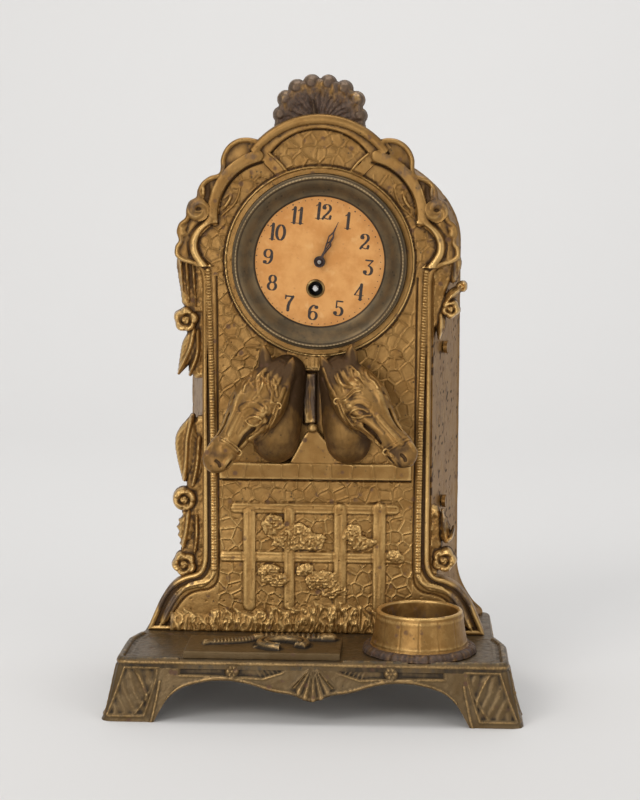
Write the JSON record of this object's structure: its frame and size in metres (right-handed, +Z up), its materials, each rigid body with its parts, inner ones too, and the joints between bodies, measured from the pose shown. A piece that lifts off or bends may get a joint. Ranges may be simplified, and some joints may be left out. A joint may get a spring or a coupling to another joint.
{
  "type": "figural desk clock",
  "caption": "Arched cast-metal desk clock on a footed base, with horse heads over a ledge, a round dial, a tub and a plaque.",
  "frame": {"origin": "on the table, under the middle of the base", "axes": "+X to the viewer's right, -Y towards the front, +Z up"},
  "size_m": [0.205, 0.12, 0.3105],
  "materials": {
    "gilt_casting": "worn gilt paint over cast metal, satin",
    "dark_gilt_casting": "gilt darkened by handling, satin",
    "aged_brass_bezel": "dull brown brass",
    "paper_dial": "aged matt paper, stands in for paper",
    "tinned_sheet": "tinned sheet, dulled",
    "blued_steel": "blued steel",
    "movement_brass": "bright brass",
    "movement_steel": "steel"
  },
  "bodies": {
    "case": {"base_casting": "dark_gilt_casting", "front_casting": "gilt_casting", "back_panel": "tinned_sheet", "stable_ledge": "gilt_casting", "horse_head_left": "gilt_casting", "horse_head_right": "gilt_casting", "plaque": "dark_gilt_casting", "feed_tub": "gilt_casting", "case_bolts": "movement_steel", "head_screws": "movement_steel", "plaque_screws": "movement_steel", "tub_screw": "movement_steel", "side_screws": "dark_gilt_casting", "bezel": "aged_brass_bezel", "dial_paper": "paper_dial", "dial_pan": "tinned_sheet", "winding_grommet": "movement_brass", "movement_can": "tinned_sheet", "can_screws": "movement_steel", "front_plate": "movement_brass", "back_plate": "movement_brass", "pillars": "movement_steel", "pillar_spacers": "movement_brass", "movement_screws": "movement_steel", "hairspring_stud": "movement_steel"},
    "minute_arbor": {"centre_arbor": "movement_steel", "tension_washer": "movement_steel", "cannon_pinion": "movement_steel", "minute_hand": "blued_steel", "hand_nut": "movement_brass", "set_knob": "movement_brass"},
    "hour_pipe": {"hour_wheel": "movement_brass", "hour_hand": "blued_steel"},
    "minute_wheel_body": {"minute_wheel": "movement_brass"},
    "winding": {"winding_arbor": "movement_steel", "ratchet_wheel": "movement_steel", "mainspring": "movement_steel"},
    "great": {"great_wheel": "movement_brass", "click_spring": "movement_steel"},
    "click_body": {"click": "movement_steel"},
    "centre": {"centre_wheel": "movement_brass"},
    "third": {"third_wheel": "movement_brass"},
    "fourth": {"fourth_wheel": "movement_brass"},
    "escape": {"escape_wheel": "movement_brass"},
    "lever": {"pallet_lever": "movement_steel"},
    "balance": {"balance_wheel": "movement_brass", "hairspring": "blued_steel"}
  },
  "joints": [
    {"name": "hand_setting", "type": "hinge", "parent": "case", "child": "minute_arbor", "pos_m": [0, 0.02, 0.219], "axis": [0, 1, 0], "continuous": true},
    {"name": "hour_turn", "type": "hinge", "parent": "case", "child": "hour_pipe", "pos_m": [0, 0.02, 0.219], "axis": [0, 1, 0], "continuous": true},
    {"name": "minute_wheel_turn", "type": "hinge", "parent": "case", "child": "minute_wheel_body", "pos_m": [0.00594, 0.02, 0.22494], "axis": [0, 1, 0], "continuous": true},
    {"name": "fourth_turn", "type": "hinge", "parent": "case", "child": "fourth", "pos_m": [0.00859, 0.02, 0.22989], "axis": [0, 1, 0], "continuous": true},
    {"name": "third_turn", "type": "hinge", "parent": "case", "child": "third", "pos_m": [-0.00219, 0.02, 0.23141], "axis": [0, 1, 0], "continuous": true},
    {"name": "centre_turn", "type": "hinge", "parent": "case", "child": "centre", "pos_m": [0, 0.02, 0.219], "axis": [0, 1, 0], "continuous": true},
    {"name": "great_turn", "type": "hinge", "parent": "case", "child": "great", "pos_m": [-0.002, 0.02, 0.2056], "axis": [0, 1, 0], "continuous": true},
    {"name": "escape_turn", "type": "hinge", "parent": "case", "child": "escape", "pos_m": [0.01527, 0.02, 0.22193], "axis": [0, 1, 0], "continuous": true},
    {"name": "winding_turn", "type": "hinge", "parent": "case", "child": "winding", "pos_m": [-0.002, 0.02, 0.2056], "axis": [0, 1, 0], "range_deg": [0, 2160]},
    {"name": "click_lift", "type": "hinge", "parent": "great", "child": "click_body", "pos_m": [-0.00971, 0.02, 0.2028], "axis": [0, 1, 0], "range_deg": [-8, 0]},
    {"name": "balance_swing", "type": "hinge", "parent": "case", "child": "balance", "pos_m": [0.0198, 0.02, 0.20503], "axis": [0, 1, 0], "range_deg": [-220, 220]},
    {"name": "lever_rock", "type": "hinge", "parent": "case", "child": "lever", "pos_m": [0.01729, 0.02, 0.2144], "axis": [0, 1, 0], "range_deg": [-4.4, 4.4]}
  ],
  "couplings": [
    {"joint": "hour_turn", "follows": "hand_setting", "ratio": 0.083333},
    {"joint": "minute_wheel_turn", "follows": "hand_setting", "ratio": -0.33333},
    {"joint": "third_turn", "follows": "fourth_turn", "ratio": -0.13333},
    {"joint": "centre_turn", "follows": "fourth_turn", "ratio": 0.016667},
    {"joint": "great_turn", "follows": "fourth_turn", "ratio": -0.0027778},
    {"joint": "escape_turn", "follows": "fourth_turn", "ratio": -10},
    {"joint": "lever_rock", "follows": "balance_swing", "ratio": -0.02}
  ]
}
